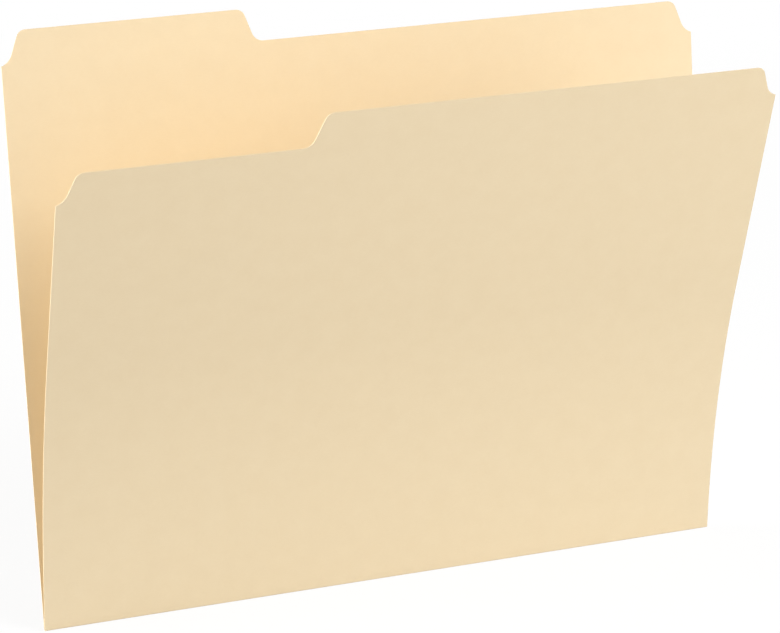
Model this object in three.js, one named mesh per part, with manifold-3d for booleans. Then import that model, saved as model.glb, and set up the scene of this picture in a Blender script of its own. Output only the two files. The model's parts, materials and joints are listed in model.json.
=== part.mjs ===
// A letter-size manila file folder, standing open on its crease.
//
// The folder is one sheet of card: a back panel with an index tab in its left third, a front
// panel cut lower under the tab, and between them the crease and three score lines. The card
// turns only along straight lines that run its full width, so each stretch between two of those
// lines is a piece of its own, and each line is a hinge.
//
// Millimetres. +X runs along the crease, +Z is up, and -Y is the front. The origin is the middle
// of the crease's underside. Heights are measured along the card, up from the crease.

import * as THREE from "three";
import { mergeVertices } from "three/addons/utils/BufferGeometryUtils.js";
import Module from "manifold-3d";

const wasm = await Module();
wasm.setup();

// The sheet
const SHEET_WIDTH = 295.3; // 11 5/8 in, along the crease
const CARD_THICKNESS = 0.28; // 11 point card
const BEND_GAP = 0.12; // card crushed away at each line it turns on

// Back panel
const BACK_HEIGHT = 228.8; // to the long top edge, right of the tab
const TAB_RISE = 13.2; // the tab above that edge
const TAB_WIDTH = 101.4; // from the left side to the middle of the tab's sloping end

// Front panel
const FRONT_HEIGHT = 225.8; // to the top edge, right of the undercut
const UNDERCUT_DEPTH = 15.0; // how much lower it is in front of the tab
const UNDERCUT_WIDTH = 102.0; // from the left side to the middle of the sloping step

// The S-shaped step that the cutting die leaves at the tab, the undercut and each top corner
const STEP_SLOPE = THREE.MathUtils.degToRad(70); // steepness of the straight middle
const CONVEX_RADIUS = 3.8;
const CONCAVE_RADIUS = 5.0;
const CORNER_DROP = 14.0; // a top corner's step, of which the side edge cuts the foot off
const CORNER_INSET = 5.25; // from the side edge to the middle of a corner's slope
const CORNER_CONCAVE_RADIUS = 7.0;

// Crease and score lines
const CREASE_WIDTH = 0.9; // between the two lines where the panels leave it
const SCORE_SPACING = 6.35; // 1/4 in: the scores let the bottom widen to 3/4 in
const SCORE_STRIPS = 3;

// How the folder stands in the photograph
const BACK_LEAN = THREE.MathUtils.degToRad(8.5); // back panel behind the upright
const FRONT_LEAN = THREE.MathUtils.degToRad(0.8); // foot of the front panel before the upright
const BOW_LENGTH = 120.0; // the front panel curves forward evenly up to here
const BOW_TURN = THREE.MathUtils.degToRad(16.0); // and turns this much in all
const BOW_BANDS = 3; // stretches of bowed card between the scores and the front panel

// The last curved stretch belongs to the front panel and is half as long as a band.
const SCORED_LENGTH = SCORE_STRIPS * SCORE_SPACING;
const BAND_LENGTH = (BOW_LENGTH - SCORED_LENGTH) / (BOW_BANDS + 0.5);
const BOW_RADIUS = BOW_LENGTH / BOW_TURN;
const HALF_THICKNESS = CARD_THICKNESS / 2;
const SIDE = SHEET_WIDTH / 2;
const AXIS_HEIGHT = HALF_THICKNESS; // the hinge lines lie in the middle of the card
const FOOT_CLEARANCE = HALF_THICKNESS + BEND_GAP; // a panel's foot clears the crease's round edge

const ARC_SEGMENTS = 10;
const STRIP_SEGMENTS = 2;
const CUTTER_DEPTH = 12;

// Booleans

function solidOf(geometry) {
  const bare = geometry.clone();
  bare.deleteAttribute("normal");
  bare.deleteAttribute("uv");
  const merged = mergeVertices(bare, 1e-4);
  return new wasm.Manifold(
    new wasm.Mesh({
      numProp: 3,
      vertProperties: merged.attributes.position.array,
      triVerts: new Uint32Array(merged.index.array),
    }),
  );
}

function geometryOf(solid) {
  const mesh = solid.getMesh();
  const geometry = new THREE.BufferGeometry();
  geometry.setAttribute("position", new THREE.BufferAttribute(mesh.vertProperties, 3));
  geometry.setIndex(new THREE.BufferAttribute(mesh.triVerts, 1));
  geometry.computeVertexNormals();
  return geometry;
}

// Outlines, drawn flat with x across the sheet and y up it

// Carries a top edge that is being drawn right to left from one level to another. Where the arc
// at the foot of the step would run past the side edge, it ends on that edge.
function addStep(outline, middle, from, to, concaveRadius) {
  const halfRun = Math.abs(to - from) / 2 / Math.tan(STEP_SLOPE);
  const highReach = halfRun + CONVEX_RADIUS * Math.tan(STEP_SLOPE / 2);
  const lowReach = halfRun + concaveRadius * Math.tan(STEP_SLOPE / 2);
  const lowX = middle + (to > from ? lowReach : -lowReach);
  const cut = Math.asin(Math.max(0, Math.abs(lowX) - SIDE) / concaveRadius);
  const up = Math.PI / 2;
  const down = -Math.PI / 2;
  if (to > from) {
    const highX = middle - highReach;
    outline.absarc(lowX, from + concaveRadius, concaveRadius, down - cut, down - STEP_SLOPE, true);
    outline.absarc(highX, to - CONVEX_RADIUS, CONVEX_RADIUS, up - STEP_SLOPE, up, false);
  } else {
    const highX = middle + highReach;
    outline.absarc(highX, from - CONVEX_RADIUS, CONVEX_RADIUS, up, up + STEP_SLOPE, false);
    outline.absarc(lowX, to + concaveRadius, concaveRadius, down + STEP_SLOPE, down + cut, true);
  }
}

// A panel whose top edge stands at rightHeight, then steps once to leftHeight.
function panelOutline(foot, rightHeight, leftHeight, stepMiddle) {
  const corner = SIDE - CORNER_INSET;
  const outline = new THREE.Shape();
  outline.moveTo(-SIDE, foot);
  outline.lineTo(SIDE, foot);
  addStep(outline, corner, rightHeight - CORNER_DROP, rightHeight, CORNER_CONCAVE_RADIUS);
  addStep(outline, stepMiddle, rightHeight, leftHeight, CONCAVE_RADIUS);
  addStep(outline, -corner, leftHeight, leftHeight - CORNER_DROP, CORNER_CONCAVE_RADIUS);
  outline.closePath();
  return outline;
}

// Solids, each in the frame of its own foot: +Z up the card, -Y to the front

// A flat outline made into an upright sheet.
function uprightSheet(outline, thickness) {
  const sheet = new THREE.ExtrudeGeometry(outline, {
    depth: thickness,
    bevelEnabled: false,
    curveSegments: ARC_SEGMENTS,
  });
  return sheet.translate(0, 0, -thickness / 2).rotateX(Math.PI / 2);
}

// A cross-section in Y and Z, drawn along the full width of the sheet.
function acrossWidth(section, segments) {
  const bar = new THREE.ExtrudeGeometry(section, {
    depth: SHEET_WIDTH,
    bevelEnabled: false,
    curveSegments: segments,
  });
  const alongX = new THREE.Matrix4().makeBasis(
    new THREE.Vector3(0, 1, 0),
    new THREE.Vector3(0, 0, 1),
    new THREE.Vector3(1, 0, 0),
  );
  return bar.applyMatrix4(alongX).translate(-SIDE, 0, 0);
}

// Cross-section of bowed card between two heights, and straight on above the second.
function bowedSection(from, to, straightOn = 0) {
  const start = from / BOW_RADIUS;
  const end = to / BOW_RADIUS;
  const back = BOW_RADIUS + HALF_THICKNESS;
  const face = BOW_RADIUS - HALF_THICKNESS;
  const rise = new THREE.Vector2(-Math.sin(end), Math.cos(end)).multiplyScalar(straightOn);
  const section = new THREE.Shape();
  section.absarc(-BOW_RADIUS, 0, back, start, end, false);
  if (straightOn > 0) {
    const edge = (radius) =>
      new THREE.Vector2(radius * Math.cos(end) - BOW_RADIUS, radius * Math.sin(end)).add(rise);
    section.lineTo(edge(back).x, edge(back).y);
    section.lineTo(edge(face).x, edge(face).y);
  }
  section.absarc(-BOW_RADIUS, 0, face, end, start, true);
  section.closePath();
  return section;
}

// The bottom of the folder: a narrow strip with round edges, which the folder stands on.
function creaseGeometry() {
  const section = new THREE.Shape();
  const reach = CREASE_WIDTH / 2;
  section.absarc(reach, AXIS_HEIGHT, HALF_THICKNESS, -Math.PI / 2, Math.PI / 2, false);
  section.absarc(-reach, AXIS_HEIGHT, HALF_THICKNESS, Math.PI / 2, (3 * Math.PI) / 2, false);
  section.closePath();
  return acrossWidth(section, ARC_SEGMENTS);
}

function backPanelGeometry() {
  const tabTop = BACK_HEIGHT + TAB_RISE;
  const outline = panelOutline(FOOT_CLEARANCE, BACK_HEIGHT, tabTop, TAB_WIDTH - SIDE);
  return uprightSheet(outline, CARD_THICKNESS);
}

// Bowed card at its foot and flat above, cut to the panel's outline.
function frontPanelGeometry() {
  const curved = BAND_LENGTH / 2;
  const lean = curved / BOW_RADIUS;
  const flat = FRONT_HEIGHT - BOW_LENGTH;
  const blank = acrossWidth(bowedSection(BEND_GAP / 2, curved, flat + CUTTER_DEPTH), ARC_SEGMENTS);
  const outline = panelOutline(
    -BAND_LENGTH,
    flat,
    flat - UNDERCUT_DEPTH,
    UNDERCUT_WIDTH - SIDE,
  );
  const cutter = uprightSheet(outline, CUTTER_DEPTH)
    .rotateX(lean)
    .translate(0, -BOW_RADIUS * (1 - Math.cos(lean)), BOW_RADIUS * Math.sin(lean));
  return geometryOf(solidOf(blank).intersect(solidOf(cutter)));
}

// Assembly: each group is a hinge line, and what turns on it is inside

function card(name, geometry) {
  const manila = new THREE.MeshStandardMaterial({
    color: 0xf0dab5,
    roughness: 0.82,
    metalness: 0,
  });
  const mesh = new THREE.Mesh(geometry, manila);
  mesh.name = name;
  return mesh;
}

function hingeLine(y, z, lean) {
  const hinge = new THREE.Group();
  hinge.position.set(0, y, z);
  hinge.rotation.x = lean;
  return hinge;
}

// Where a stretch of bowed card of this length ends, seen from its foot.
function nextHinge(length) {
  const turn = length / BOW_RADIUS;
  return hingeLine(-BOW_RADIUS * (1 - Math.cos(turn)), BOW_RADIUS * Math.sin(turn), turn);
}

const folder = new THREE.Group();
folder.add(card("crease_strip", creaseGeometry()));

const backFold = hingeLine(CREASE_WIDTH / 2, AXIS_HEIGHT, -BACK_LEAN);
backFold.add(card("back_panel", backPanelGeometry()));
folder.add(backFold);

const frontFold = hingeLine(-CREASE_WIDTH / 2, AXIS_HEIGHT, FRONT_LEAN);
folder.add(frontFold);

const stretches = [];
for (let i = 1; i <= SCORE_STRIPS; i += 1) {
  stretches.push({ name: `score_strip_${i}`, length: SCORE_SPACING, segments: STRIP_SEGMENTS });
}
for (let i = 1; i <= BOW_BANDS; i += 1) {
  stretches.push({ name: `bow_band_${i}`, length: BAND_LENGTH, segments: ARC_SEGMENTS });
}

let hinge = frontFold;
for (const [index, { name, length, segments }] of stretches.entries()) {
  const foot = index === 0 ? FOOT_CLEARANCE : BEND_GAP / 2;
  hinge.add(card(name, acrossWidth(bowedSection(foot, length - BEND_GAP / 2), segments)));
  const above = nextHinge(length);
  hinge.add(above);
  hinge = above;
}
hinge.add(card("front_panel", frontPanelGeometry()));

export default folder;
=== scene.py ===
"""A letter-size manila file folder, standing open on its crease, seen from the front left."""

import json
import math

import bmesh
import bpy
from mathutils import Matrix, Vector

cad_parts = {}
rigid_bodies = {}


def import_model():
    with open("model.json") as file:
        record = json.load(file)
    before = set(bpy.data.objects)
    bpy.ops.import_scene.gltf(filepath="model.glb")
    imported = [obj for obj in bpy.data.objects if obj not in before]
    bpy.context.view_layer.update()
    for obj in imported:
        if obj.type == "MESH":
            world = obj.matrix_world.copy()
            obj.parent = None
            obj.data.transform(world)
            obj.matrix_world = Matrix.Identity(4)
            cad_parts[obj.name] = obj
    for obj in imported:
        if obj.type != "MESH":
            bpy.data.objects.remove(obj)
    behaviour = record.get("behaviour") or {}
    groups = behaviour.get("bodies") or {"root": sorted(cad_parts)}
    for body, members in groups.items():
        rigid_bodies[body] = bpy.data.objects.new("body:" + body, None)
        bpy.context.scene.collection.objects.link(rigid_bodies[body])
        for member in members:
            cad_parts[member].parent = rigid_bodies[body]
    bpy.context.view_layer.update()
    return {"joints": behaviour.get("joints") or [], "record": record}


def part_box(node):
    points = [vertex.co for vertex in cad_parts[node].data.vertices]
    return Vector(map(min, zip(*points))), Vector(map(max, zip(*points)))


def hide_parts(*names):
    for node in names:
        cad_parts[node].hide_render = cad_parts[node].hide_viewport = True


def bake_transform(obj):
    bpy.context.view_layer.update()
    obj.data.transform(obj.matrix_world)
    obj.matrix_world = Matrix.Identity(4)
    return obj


MM = 0.001

# The photograph's camera, with its angles in degrees and its places in metres
PHOTO_WIDTH = 780
FOCAL_PIXELS = 3210.5
CAMERA_YAW = 20.86
CAMERA_PITCH = 20.08
CAMERA_ROLL = 0.12
CAMERA_DISTANCE = 1.3015
CAMERA_AIM = (0.00075, 0.0, 0.11567)

# The sheet, as it was die-cut: heights are measured along the card, up from the crease
CARD_THICKNESS = 0.28 * MM
BACK_HEIGHT = 228.8 * MM
TAB_RISE = 13.2 * MM
TAB_WIDTH = 101.4 * MM
FRONT_HEIGHT = 225.8 * MM
UNDERCUT_DEPTH = 15.0 * MM
UNDERCUT_WIDTH = 102.0 * MM

# The S-shaped step at the tab, the undercut and each top corner. The side edge cuts the foot off
# a corner's step.
STEP_SLOPE = math.radians(70)
CONVEX_RADIUS = 3.8 * MM
CONCAVE_RADIUS = 5.0 * MM
CORNER_DROP = 14.0 * MM
CORNER_INSET = 5.25 * MM
CORNER_CONCAVE_RADIUS = 7.0 * MM

# How the card is folded and bowed
CREASE_WIDTH = 0.9 * MM
FOLD_RADIUS = 0.36 * MM
BACK_LEAN = math.radians(8.5)
FRONT_LEAN = math.radians(0.8)
BOW_LENGTH = 120.0 * MM
BOW_TURN = math.radians(16.0)

# How finely the card is meshed
COLUMN_SPACING = 4.0 * MM
ROW_SPACING = 3.0 * MM
ARC_STEPS = 10
FOLD_STEPS = 8
DRAPED_ROWS = 10
DRAPED_ROW_SPACING = 4.0 * MM
SHARP_ANGLE = math.radians(30)
SAME_STATION = 0.01 * MM
ROUNDING = 1e-6

# The folding tree's last stretch is longer than any card, and no stretch turns by exactly nothing
ENDLESS = 10.0
LEAST_TURN = 1e-7

# The card's patterns
FORMATION_SIZE = 9 * MM
FIBRE_LENGTH = 1.6 * MM
FIBRE_WIDTH = 0.5 * MM
FIBRE_HEIGHT = 0.03 * MM
TORN_FIBRE_SIZE = 0.8 * MM

# The table, how much of its shadow shows, and how far out it fades away, in metres
TABLE_SIZE = 12
TABLE_GREY = "#cbcbcb"
SHADOW_SHARE = 0.12
SHADOW_REACH = (0.45, 0.9)

# How strongly the white surroundings light the object
SURROUNDING_LIGHT = 0.34

# The lamps: what they face, and each one's place, size and power, in metres and watts
LAMP_AIM = (0, 0, 0.12)
SOFT_LAMP = (1.4, 1.4)
SLIT_LAMP = (0.7, 0.25)
LAMPS = {
    "key_lamp": ((1.3, -1.4, 1.6), SOFT_LAMP, 34),
    "low_lamp": ((1.8, -1.6, 0.7), SOFT_LAMP, 24),
    "top_lamp": ((0, -0.2, 2.4), SOFT_LAMP, 8),
    # this one shines along the table into the fold, and skims a cover that lies flat
    "side_lamp": ((-1.62, 0.56, 0.14), SLIT_LAMP, 52),
}


def linear(hex_colour):
    """An sRGB hex colour as linear RGBA."""
    channels = [int(hex_colour[i : i + 2], 16) / 255 for i in (1, 3, 5)]
    return tuple(
        c / 12.92 if c <= 0.04045 else ((c + 0.055) / 1.055) ** 2.4 for c in channels
    ) + (1.0,)


def add_node(tree, kind, settings=None, inputs=None):
    """Adds a node, sets it, and fills its inputs with values or links them to sockets."""
    node = tree.nodes.new(kind)
    for name, value in (settings or {}).items():
        setattr(node, name, value)
    for key, value in (inputs or {}).items():
        if isinstance(value, bpy.types.NodeSocket):
            tree.links.new(value, node.inputs[key])
        else:
            node.inputs[key].default_value = value
    return node


# Camera


def make_camera():
    """A long lens, looking down on the folder from the front left."""
    yaw, pitch, roll = (math.radians(a) for a in (CAMERA_YAW, CAMERA_PITCH, CAMERA_ROLL))
    forward = Vector(
        (math.sin(yaw) * math.cos(pitch), math.cos(yaw) * math.cos(pitch), -math.sin(pitch))
    )
    level = Vector((math.cos(yaw), -math.sin(yaw), 0))
    upright = level.cross(forward)
    right = level * math.cos(roll) + upright * math.sin(roll)
    up = upright * math.cos(roll) - level * math.sin(roll)
    data = bpy.data.cameras.new("photo_camera")
    data.lens = FOCAL_PIXELS * data.sensor_width / PHOTO_WIDTH
    data.clip_start = 0.05
    data.clip_end = 50
    camera = bpy.data.objects.new("photo_camera", data)
    turn = Matrix((right, up, -forward)).transposed().to_4x4()
    camera.matrix_world = Matrix.Translation(Vector(CAMERA_AIM) - forward * CAMERA_DISTANCE) @ turn
    bpy.context.scene.collection.objects.link(camera)
    bpy.context.scene.camera = camera


# Materials


def new_material(name):
    material = bpy.data.materials.new(name)
    material.use_nodes = True
    return material, material.node_tree, material.node_tree.nodes["Principled BSDF"]


def manila_card():
    """Uncoated manila card: calendered pulp, dyed buff, so it is matt, with a soft cloudy formation
    and short fibres that lie mostly along the crease."""
    material, tree, shader = new_material("manila card stock")
    flat = add_node(tree, "ShaderNodeUVMap", {"uv_map": "flat_card"})
    # formation: clouds of denser pulp
    clouds = add_node(
        tree,
        "ShaderNodeTexNoise",
        inputs={
            "Vector": flat.outputs[0],
            "Scale": 1 / FORMATION_SIZE,
            "Detail": 3.0,
            "Roughness": 0.6,
        },
    )
    # fibres, coarser than real ones so that they show
    along = add_node(
        tree,
        "ShaderNodeMapping",
        inputs={"Vector": flat.outputs[0], "Scale": (1 / FIBRE_LENGTH, 1 / FIBRE_WIDTH, 1.0)},
    )
    fibres = add_node(
        tree,
        "ShaderNodeTexNoise",
        inputs={"Vector": along.outputs[0], "Scale": 1.0, "Detail": 2.0, "Roughness": 0.55},
    )
    shade = add_node(
        tree,
        "ShaderNodeMix",
        {"data_type": "FLOAT"},
        {"Factor": 0.4, "A": clouds.outputs["Fac"], "B": fibres.outputs["Fac"]},
    )
    ramp = add_node(tree, "ShaderNodeValToRGB", inputs={"Fac": shade.outputs["Result"]})
    ramp.color_ramp.elements[0].position = 0.3
    ramp.color_ramp.elements[0].color = linear("#ecd8b4")
    ramp.color_ramp.elements[1].position = 0.7
    ramp.color_ramp.elements[1].color = linear("#efdcb9")
    tree.links.new(ramp.outputs["Color"], shader.inputs["Base Color"])
    bump = add_node(
        tree,
        "ShaderNodeBump",
        inputs={"Strength": 0.35, "Distance": FIBRE_HEIGHT, "Height": fibres.outputs["Fac"]},
    )
    tree.links.new(bump.outputs["Normal"], shader.inputs["Normal"])
    shader.inputs["Roughness"].default_value = 0.82
    shader.inputs["IOR"].default_value = 1.45
    shader.inputs["Specular IOR Level"].default_value = 0.3
    return material


def cut_edge():
    """The die-cut edge of the same card: torn fibre ends, greyer and rougher than its faces."""
    material, tree, shader = new_material("die-cut edge of manila card")
    flat = add_node(tree, "ShaderNodeUVMap", {"uv_map": "flat_card"})
    torn = add_node(
        tree,
        "ShaderNodeTexNoise",
        inputs={"Vector": flat.outputs[0], "Scale": 1 / TORN_FIBRE_SIZE, "Detail": 2.0},
    )
    ramp = add_node(tree, "ShaderNodeValToRGB", inputs={"Fac": torn.outputs["Fac"]})
    ramp.color_ramp.elements[0].position = 0.35
    ramp.color_ramp.elements[0].color = linear("#e2d5bb")
    ramp.color_ramp.elements[1].position = 0.65
    ramp.color_ramp.elements[1].color = linear("#eee2ca")
    tree.links.new(ramp.outputs["Color"], shader.inputs["Base Color"])
    shader.inputs["Roughness"].default_value = 0.95
    return material


def seen_ray(tree):
    """1 where a ray shows the picture its background, straight or through glass or a mirror."""
    rays = add_node(tree, "ShaderNodeLightPath").outputs
    seen = rays["Is Camera Ray"]
    for other in ("Is Glossy Ray", "Is Transmission Ray"):
        seen = add_node(
            tree, "ShaderNodeMath", {"operation": "MAXIMUM"}, {0: seen, 1: rays[other]}
        ).outputs[0]
    return seen


def pale_floor():
    """A matt grey table that looks white: it keeps a faint shadow, and throws little light back."""
    material, tree, shader = new_material("matt white table")
    seen = seen_ray(tree)
    colour = add_node(
        tree,
        "ShaderNodeMix",
        {"data_type": "RGBA"},
        {"Factor": seen, 6: linear(TABLE_GREY), 7: (1, 1, 1, 1)},
    )
    tree.links.new(colour.outputs[2], shader.inputs["Base Color"])
    shader.inputs["Roughness"].default_value = 1.0
    shader.inputs["Specular IOR Level"].default_value = 0.0
    white = add_node(tree, "ShaderNodeEmission", inputs={"Color": (1, 1, 1, 1), "Strength": 1.0})
    place = add_node(tree, "ShaderNodeTexCoord")
    distance = add_node(
        tree, "ShaderNodeVectorMath", {"operation": "LENGTH"}, {0: place.outputs["Object"]}
    )
    whiteness = add_node(
        tree,
        "ShaderNodeMapRange",
        inputs={
            "Value": distance.outputs["Value"],
            "From Min": SHADOW_REACH[0],
            "From Max": SHADOW_REACH[1],
            "To Min": 1 - SHADOW_SHARE,
            "To Max": 1.0,
        },
    )
    share = add_node(
        tree, "ShaderNodeMath", {"operation": "MULTIPLY"}, {0: seen, 1: whiteness.outputs[0]}
    )
    look = add_node(
        tree,
        "ShaderNodeMixShader",
        inputs={0: share.outputs[0], 1: shader.outputs[0], 2: white.outputs[0]},
    )
    tree.links.new(look.outputs[0], tree.nodes["Material Output"].inputs["Surface"])
    return material


# The die-cut blank


class Step:
    """An S-shaped step in a top edge: a concave arc, a straight slope and a convex arc."""

    def __init__(self, middle, low, high, high_side, concave_radius=CONCAVE_RADIUS):
        self.middle = middle
        self.low = low
        self.high = high
        self.high_side = high_side
        self.concave_radius = concave_radius
        half_run = (high - low) / 2 / math.tan(STEP_SLOPE)
        self.foot = -half_run - concave_radius * math.tan(STEP_SLOPE / 2)
        self.brow = half_run + CONVEX_RADIUS * math.tan(STEP_SLOPE / 2)
        self.slope_start = self.foot + concave_radius * math.sin(STEP_SLOPE)
        self.slope_end = self.brow - CONVEX_RADIUS * math.sin(STEP_SLOPE)

    def height(self, x):
        along = (x - self.middle) * self.high_side
        if along <= self.foot:
            return self.low
        if along < self.slope_start:
            radius = self.concave_radius
            return self.low + radius - math.sqrt(radius**2 - (along - self.foot) ** 2)
        if along <= self.slope_end:
            return (self.low + self.high) / 2 + along * math.tan(STEP_SLOPE)
        if along < self.brow:
            return self.high - CONVEX_RADIUS + math.sqrt(CONVEX_RADIUS**2 - (self.brow - along) ** 2)
        return self.high

    def columns(self):
        """Where the mesh needs columns, so that both arcs come out round."""
        turns = [STEP_SLOPE * i / ARC_STEPS for i in range(ARC_STEPS + 1)]
        concave = [self.foot + self.concave_radius * math.sin(t) for t in turns]
        convex = [self.brow - CONVEX_RADIUS * math.sin(t) for t in turns]
        return [self.middle + self.high_side * d for d in concave + convex]


def panel_steps(half_width, right_height, left_height, step_middle):
    """The three steps in a panel's top edge, from the left corner to the right one."""
    corner = half_width - CORNER_INSET
    radius = CORNER_CONCAVE_RADIUS
    low, high = sorted((left_height, right_height))
    return [
        Step(-corner, left_height - CORNER_DROP, left_height, 1, radius),
        Step(step_middle, low, high, 1 if right_height > left_height else -1),
        Step(corner, right_height - CORNER_DROP, right_height, -1, radius),
    ]


def spread(stations, spacing):
    """Fills the gaps between sorted stations evenly, so that none is wider than spacing."""
    filled = [stations[0]]
    for station in stations[1:]:
        gap = station - filled[-1]
        if gap < SAME_STATION:
            continue
        count = max(1, math.ceil(gap / spacing - ROUNDING))
        start = filled[-1]
        filled += [start + gap * i / count for i in range(1, count + 1)]
    return filled


def blank(name, half_width, stations, steps=()):
    """A flat piece of the sheet, x across it and y up it, with rows at each station. Without steps
    its top edge is the last station. With steps it drapes up from there to the stepped edge."""
    marks = [-half_width, half_width]
    marks += [x for step in steps for x in step.columns() if abs(x) < half_width]
    columns = spread(sorted(marks), COLUMN_SPACING)
    rows = spread(stations, ROW_SPACING)
    head = stations[-1]
    shares = [i / DRAPED_ROWS for i in range(1, DRAPED_ROWS + 1)] if steps else []
    bm = bmesh.new()
    flat = bm.loops.layers.uv.new("flat_card")
    grid = []
    for x in columns:
        column = [bm.verts.new((x, y, 0)) for y in rows]
        if steps:
            nearest = min(steps, key=lambda step: abs(x - step.middle))
            rise = nearest.height(x) - head
            column += [bm.verts.new((x, head + rise * share, 0)) for share in shares]
        grid.append(column)
    for left, right in zip(grid, grid[1:]):
        for i in range(len(left) - 1):
            face = bm.faces.new((left[i], right[i], right[i + 1], left[i + 1]))
            for loop in face.loops:
                loop[flat].uv = loop.vert.co.xy
    mesh = bpy.data.meshes.new(name)
    bm.to_mesh(mesh)
    bm.free()
    piece = bpy.data.objects.new(name, mesh)
    bpy.context.scene.collection.objects.link(piece)
    return piece


# Folding the blank


def folding_tree():
    """Geometry nodes that fold and bow a flat blank. Going up the card from the middle of the crease
    it lies flat, turns up through the fold, bows, and runs on straight. Each of these stretches is
    an arc, of which a straight run is the flattest, so one formula places them all."""
    tree = bpy.data.node_groups.new("fold_and_bow_card", "GeometryNodeTree")

    def size(name, kind="NodeSocketFloat"):
        return tree.interface.new_socket(name, in_out="INPUT", socket_type=kind)

    size("Blank", "NodeSocketGeometry")
    for name in ("Start", "Flat Length", "Fold Length", "Fold Turn", "Bow Length", "Bow Turn"):
        size(name)
    size("Side")
    size("Base Height")
    size("Card", "NodeSocketMaterial")
    tree.interface.new_socket("Folded", in_out="OUTPUT", socket_type="NodeSocketGeometry")
    given = add_node(tree, "NodeGroupInput").outputs

    def math_node(operation, *values):
        return add_node(
            tree, "ShaderNodeMath", {"operation": operation}, dict(enumerate(values))
        ).outputs[0]

    position = add_node(tree, "GeometryNodeInputPosition")
    flat = add_node(tree, "ShaderNodeSeparateXYZ", inputs={0: position.outputs[0]}).outputs
    begin = given["Start"]
    heading = math.pi / 2
    outward = 0.0
    upward = given["Base Height"]
    stretches = [
        (given["Flat Length"], 0.0),
        (given["Fold Length"], math_node("MULTIPLY", given["Fold Turn"], -1.0)),
        (given["Bow Length"], given["Bow Turn"]),
        (ENDLESS, 0.0),
    ]
    for length, turn in stretches:
        past = math_node("SUBTRACT", flat["Y"], begin)
        run = math_node("MINIMUM", math_node("MAXIMUM", past, 0.0), length)
        share = math_node("DIVIDE", run, length)
        part_turn = math_node("MULTIPLY", share, turn)
        half_turn = math_node("MULTIPLY_ADD", part_turn, 0.5, LEAST_TURN)
        chord = math_node(
            "MULTIPLY", run, math_node("DIVIDE", math_node("SINE", half_turn), half_turn)
        )
        bearing = math_node("ADD", heading, half_turn)
        outward = math_node("MULTIPLY_ADD", chord, math_node("SINE", bearing), outward)
        upward = math_node("MULTIPLY_ADD", chord, math_node("COSINE", bearing), upward)
        begin = math_node("ADD", begin, length)
        heading = math_node("ADD", heading, turn)
    place = add_node(
        tree,
        "ShaderNodeCombineXYZ",
        inputs={"X": flat["X"], "Y": math_node("MULTIPLY", outward, given["Side"]), "Z": upward},
    )
    folded = add_node(
        tree,
        "GeometryNodeSetPosition",
        inputs={"Geometry": given["Blank"], "Position": place.outputs[0]},
    )
    real = add_node(tree, "GeometryNodeRealizeInstances", inputs={0: folded.outputs[0]})
    finished = add_node(
        tree,
        "GeometryNodeSetMaterial",
        inputs={"Geometry": real.outputs[0], "Material": given["Card"]},
    )
    add_node(tree, "NodeGroupOutput", inputs={0: finished.outputs[0]})
    return tree


def fold_sizes(side, lean, bow_turn):
    """What the folding tree needs for the back (side 1) or the front (side -1) of the folder."""
    corner = FOLD_RADIUS * math.tan((math.pi / 2 - lean) / 2)
    extra = bow_turn * corner / BOW_LENGTH
    turn = math.pi / 2 - lean - extra
    fold_length = FOLD_RADIUS * turn
    flat_length = CREASE_WIDTH / 2 - corner
    return {
        "Start": corner - fold_length - flat_length,
        "Flat Length": flat_length,
        "Fold Length": fold_length,
        "Fold Turn": turn,
        "Bow Length": BOW_LENGTH - corner,
        "Bow Turn": bow_turn - extra,
        "Side": side,
        "Base Height": CARD_THICKNESS / 2,
    }


def fold_stations(sizes):
    """Where the lowest piece of a side needs rows: the middle of the crease and around the fold."""
    foot = sizes["Start"]
    turn_start = foot + sizes["Flat Length"]
    arc = [turn_start + sizes["Fold Length"] * i / FOLD_STEPS for i in range(FOLD_STEPS + 1)]
    return [foot] + arc


def fold(piece, tree, sizes, card, edge):
    """Folds a blank, gives it its thickness, and leaves it a plain mesh."""
    modifier = piece.modifiers.new("fold_and_bow_card", "NODES")
    modifier.node_group = tree
    sockets = {s.name: s.identifier for s in tree.interface.items_tree if s.in_out == "INPUT"}
    for name, value in sizes.items():
        modifier[sockets[name]] = value
    modifier[sockets["Card"]] = card
    thickness = piece.modifiers.new("card_thickness", "SOLIDIFY")
    thickness.thickness = CARD_THICKNESS
    thickness.offset = 0
    thickness.use_even_offset = True
    thickness.material_offset_rim = 1
    graph = bpy.context.evaluated_depsgraph_get()
    mesh = bpy.data.meshes.new_from_object(piece.evaluated_get(graph))
    piece.modifiers.clear()
    mesh.name = piece.name
    piece.data = mesh
    mesh.materials.clear()
    mesh.materials.append(card)
    mesh.materials.append(edge)
    bm = bmesh.new()
    bm.from_mesh(mesh)
    for edge_line in bm.edges:
        edge_line.smooth = edge_line.calc_face_angle(0) < SHARP_ANGLE
    for face in bm.faces:
        face.smooth = True
    bm.to_mesh(mesh)
    bm.free()


# The folder


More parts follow.
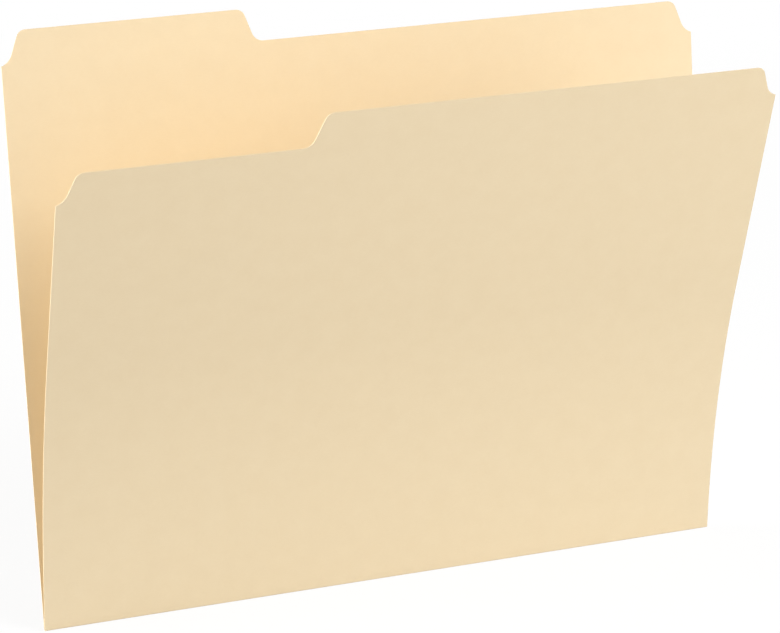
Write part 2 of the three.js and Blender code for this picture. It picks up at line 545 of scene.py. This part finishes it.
def make_folder(frame):
    card = manila_card()
    edge = cut_edge()
    tree = folding_tree()
    hinges = {joint["child"]: joint for joint in frame["joints"]}
    nodes = frame["record"]["behaviour"]["bodies"]
    half_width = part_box("back_panel")[1].x

    back_sizes = fold_sizes(1, BACK_LEAN, 0.0)
    back_steps = panel_steps(
        half_width, BACK_HEIGHT, BACK_HEIGHT + TAB_RISE, TAB_WIDTH - half_width
    )
    drape = DRAPED_ROWS * DRAPED_ROW_SPACING
    level = BACK_HEIGHT - CORNER_DROP - drape
    stations = fold_stations(back_sizes) + [level]
    back = blank("back_cover", half_width, stations, back_steps)
    fold(back, tree, back_sizes, card, edge)
    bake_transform(back)
    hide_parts("back_panel", "crease_strip")

    # the bodies of the front, from the crease up, and how far up the card each one starts
    chain = ["crease"]
    while True:
        above = [
            joint["child"]
            for joint in frame["joints"]
            if joint["parent"] == chain[-1] and joint["child"] != "back"
        ]
        if not above:
            break
        chain += above
    places = [Vector(hinges[body]["pos_m"]) for body in chain[1:]]
    heights = [0.0]
    for lower, upper in zip(places, places[1:]):
        heights.append(heights[-1] + (upper - lower).length)
    front_sizes = fold_sizes(-1, FRONT_LEAN, BOW_TURN)
    front_steps = panel_steps(
        half_width, FRONT_HEIGHT, FRONT_HEIGHT - UNDERCUT_DEPTH, UNDERCUT_WIDTH - half_width
    )
    stations = fold_stations(front_sizes)
    for i, body in enumerate(chain[1:]):
        last = i == len(places) - 1
        if last:
            top = FRONT_HEIGHT - UNDERCUT_DEPTH - CORNER_DROP - drape
            steps = front_steps
        else:
            top = (heights[i] + heights[i + 1]) / 2
            steps = ()
        name = "front_cover" if last else f"front_card_{i + 1}"
        piece = blank(name, half_width, stations + [top], steps)
        fold(piece, tree, front_sizes, card, edge)
        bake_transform(piece)
        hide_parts(*nodes[body])
        if not last:
            stations = [top]


# The studio


def area_lamp(name, place, size, power):
    """A flat lamp that faces the folder."""
    data = bpy.data.lights.new(name, "AREA")
    data.shape = "RECTANGLE"
    data.size, data.size_y = size
    data.energy = power
    towards = Vector(LAMP_AIM) - Vector(place)
    turn = towards.to_track_quat("-Z", "Y").to_matrix().to_4x4()
    lamp = bpy.data.objects.new(name, data)
    lamp.matrix_world = Matrix.Translation(place) @ turn
    bpy.context.scene.collection.objects.link(lamp)


def make_studio():
    """White table, white surroundings, soft lamps in front and above, and a low one behind on the
    left."""
    bpy.ops.mesh.primitive_plane_add(size=TABLE_SIZE)
    floor = bpy.context.object
    floor.name = "table"
    floor.data.materials.append(pale_floor())

    world = bpy.data.worlds.new("white_studio")
    bpy.context.scene.world = world
    world.use_nodes = True
    tree = world.node_tree
    tree.nodes.clear()
    strength = add_node(
        tree,
        "ShaderNodeMix",
        {"data_type": "FLOAT"},
        {"Factor": seen_ray(tree), "A": SURROUNDING_LIGHT, "B": 1.0},
    )
    sky = add_node(
        tree,
        "ShaderNodeBackground",
        inputs={"Color": (1, 1, 1, 1), "Strength": strength.outputs["Result"]},
    )
    add_node(tree, "ShaderNodeOutputWorld", inputs={"Surface": sky.outputs[0]})

    for name, (place, size, power) in LAMPS.items():
        area_lamp(name, place, size, power)


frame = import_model()
make_camera()
make_folder(frame)
make_studio()
bpy.context.scene.view_settings.view_transform = "Standard"
